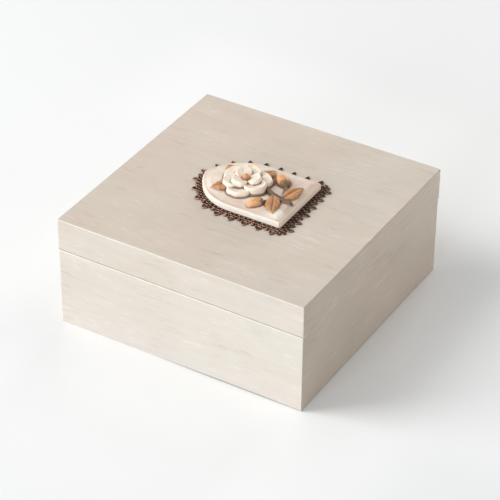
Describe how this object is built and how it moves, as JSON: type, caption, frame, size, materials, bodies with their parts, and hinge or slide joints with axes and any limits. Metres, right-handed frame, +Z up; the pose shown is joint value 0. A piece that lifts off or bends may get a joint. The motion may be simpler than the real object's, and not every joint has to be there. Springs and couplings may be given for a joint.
{
  "type": "sculpted keepsake box",
  "caption": "Square lidded box with a lift-off lid; an arched cast plaque with a flower spray in relief lies on the lid over a pierced metal lace border.",
  "frame": {"origin": "middle of the box's underside", "axes": "+Z up; the front faces -Y; the plaque's straight foot is towards +X and its point towards -X"},
  "size_m": [0.14, 0.14, 0.0731],
  "materials": {
    "painted_board": "brushed pale taupe paint over wood, satin",
    "dark_bronze": "dark brown patina with rubbed rose-brown high spots",
    "cast_stone": "cast resin, hand painted cream, tan and brown with a soft antique wash"
  },
  "bodies": {
    "root": {"box_base": "painted_board", "box_lid": "painted_board", "lace_trim": "dark_bronze", "plaque": "cast_stone"}
  },
  "joints": []
}
